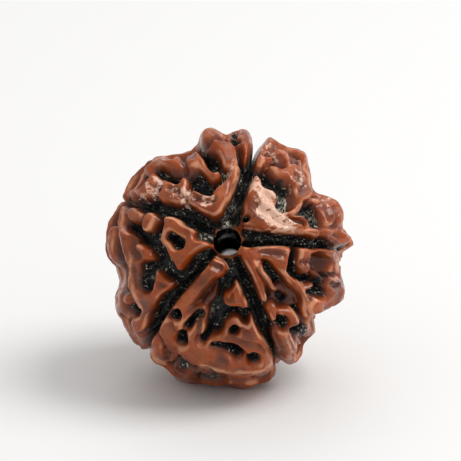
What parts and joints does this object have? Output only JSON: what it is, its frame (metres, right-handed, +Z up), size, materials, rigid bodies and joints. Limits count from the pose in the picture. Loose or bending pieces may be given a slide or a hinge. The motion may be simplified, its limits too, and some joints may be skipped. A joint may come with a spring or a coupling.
{
  "type": "rudraksha seed",
  "caption": "Round fruit stone with deep grooves between its lobes, a raised net of ridges and pits all over, and a stringing hole through its axis.",
  "frame": {"origin": "on the surface that the seed rests on, under the middle of its bounding box", "axes": "+Z up as the seed lies, its tallest way; the stringing hole opens towards -Y and tilts up at about 29 degrees; Y is its shortest way"},
  "size_m": [0.0248, 0.0234, 0.0256],
  "materials": {
    "oiled_seed_stone": "satin, oiled, near black in the recesses"
  },
  "bodies": {
    "root": {"rudraksha_seed": "oiled_seed_stone"}
  },
  "joints": []
}
